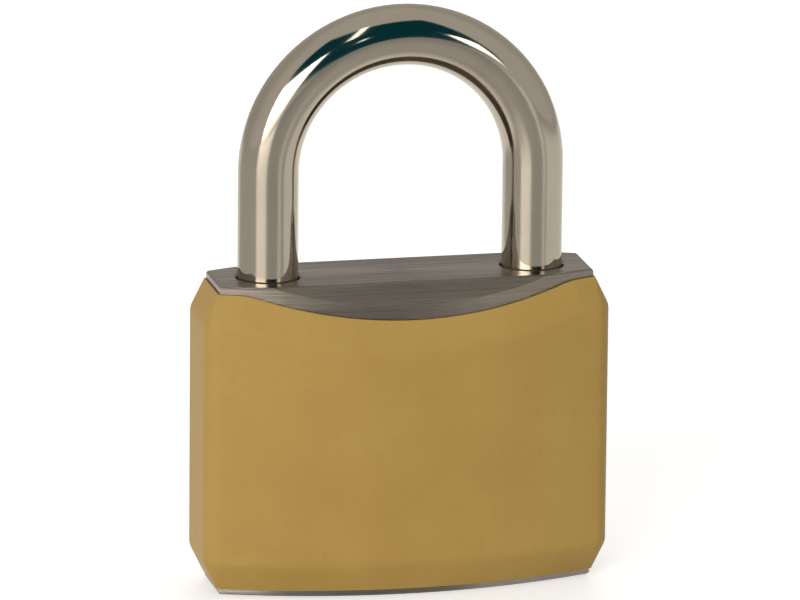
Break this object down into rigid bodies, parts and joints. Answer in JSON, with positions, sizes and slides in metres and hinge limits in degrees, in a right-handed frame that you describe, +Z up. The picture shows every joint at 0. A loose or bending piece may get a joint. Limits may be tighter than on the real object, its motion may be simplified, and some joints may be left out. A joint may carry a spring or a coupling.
{
  "type": "padlock",
  "caption": "Padlock with a convex satin metal block in a yellow moulded jacket, a polished round-wire shackle and a pin-tumbler core that throws two bolts.",
  "frame": {"origin": "middle of the metal block's flat bottom", "axes": "+Z up along the shackle legs, +X to the right seen from the front, -Y to the front with the dipped jacket edge"},
  "size_m": [0.0434, 0.017, 0.0617],
  "materials": {
    "block": "satin plated, brushed along the width",
    "jacket": "satin moulded",
    "shackle": "polished plating",
    "core": "turned",
    "pin": "turned",
    "steel": "ground",
    "spring": "drawn wire"
  },
  "bodies": {
    "lock": {"lock_body": "block", "jacket": "jacket", "shackle_spring": "spring", "shackle_retaining_pin": "steel", "bolt_springs": "spring", "bolt_bore_plug": "block", "core_retaining_pin": "steel", "chamber_plugs": "block", "pin_spring_1": "spring", "pin_spring_2": "spring", "pin_spring_3": "spring", "pin_spring_4": "spring", "pin_spring_5": "spring"},
    "shackle": {"shackle": "shackle"},
    "core": {"core": "core", "core_driver": "core"},
    "heel_bolt": {"heel_bolt": "steel"},
    "toe_bolt": {"toe_bolt": "steel"},
    "key_pin_1": {"key_pin_1": "pin"},
    "key_pin_2": {"key_pin_2": "pin"},
    "key_pin_3": {"key_pin_3": "pin"},
    "key_pin_4": {"key_pin_4": "pin"},
    "key_pin_5": {"key_pin_5": "pin"},
    "driver_pin_1": {"driver_pin_1": "pin"},
    "driver_pin_2": {"driver_pin_2": "pin"},
    "driver_pin_3": {"driver_pin_3": "pin"},
    "driver_pin_4": {"driver_pin_4": "pin"},
    "driver_pin_5": {"driver_pin_5": "pin"}
  },
  "joints": [
    {"name": "shackle_lift", "type": "slide", "parent": "lock", "child": "shackle", "axis": [0, 0, 1], "range_m": [0, 0.0115], "deforming": ["shackle_spring"]},
    {"name": "core_turn", "type": "hinge", "parent": "lock", "child": "core", "pos_m": [0, 0, 0.01], "axis": [0, 0, 1], "range_deg": [-90, 0]},
    {"name": "heel_bolt_throw", "type": "slide", "parent": "lock", "child": "heel_bolt", "axis": [-1, 0, 0], "range_m": [0, 0.0015], "deforming": ["bolt_springs"]},
    {"name": "toe_bolt_throw", "type": "slide", "parent": "lock", "child": "toe_bolt", "axis": [1, 0, 0], "range_m": [0, 0.0015], "deforming": ["bolt_springs"]},
    {"name": "key_pin_1_slide", "type": "slide", "parent": "core", "child": "key_pin_1", "axis": [1, 0, 0], "range_m": [-0.0008, 0]},
    {"name": "key_pin_2_slide", "type": "slide", "parent": "core", "child": "key_pin_2", "axis": [1, 0, 0], "range_m": [-0.0008, 0]},
    {"name": "key_pin_3_slide", "type": "slide", "parent": "core", "child": "key_pin_3", "axis": [1, 0, 0], "range_m": [-0.0008, 0]},
    {"name": "key_pin_4_slide", "type": "slide", "parent": "core", "child": "key_pin_4", "axis": [1, 0, 0], "range_m": [-0.0008, 0]},
    {"name": "key_pin_5_slide", "type": "slide", "parent": "core", "child": "key_pin_5", "axis": [1, 0, 0], "range_m": [-0.0008, 0]},
    {"name": "driver_pin_1_slide", "type": "slide", "parent": "lock", "child": "driver_pin_1", "axis": [1, 0, 0], "range_m": [0, 0.0008], "stiffness_N_per_m": 40, "springref_m": -0.0005, "deforming": ["pin_spring_1"]},
    {"name": "driver_pin_2_slide", "type": "slide", "parent": "lock", "child": "driver_pin_2", "axis": [1, 0, 0], "range_m": [0, 0.0008], "stiffness_N_per_m": 40, "springref_m": -0.0005, "deforming": ["pin_spring_2"]},
    {"name": "driver_pin_3_slide", "type": "slide", "parent": "lock", "child": "driver_pin_3", "axis": [1, 0, 0], "range_m": [0, 0.0008], "stiffness_N_per_m": 40, "springref_m": -0.0005, "deforming": ["pin_spring_3"]},
    {"name": "driver_pin_4_slide", "type": "slide", "parent": "lock", "child": "driver_pin_4", "axis": [1, 0, 0], "range_m": [0, 0.0008], "stiffness_N_per_m": 40, "springref_m": -0.0005, "deforming": ["pin_spring_4"]},
    {"name": "driver_pin_5_slide", "type": "slide", "parent": "lock", "child": "driver_pin_5", "axis": [1, 0, 0], "range_m": [0, 0.0008], "stiffness_N_per_m": 40, "springref_m": -0.0005, "deforming": ["pin_spring_5"]}
  ],
  "couplings": [
    {"joint": "heel_bolt_throw", "follows": "core_turn", "m_per_rad": -0.000954},
    {"joint": "toe_bolt_throw", "follows": "core_turn", "m_per_rad": -0.000954}
  ]
}
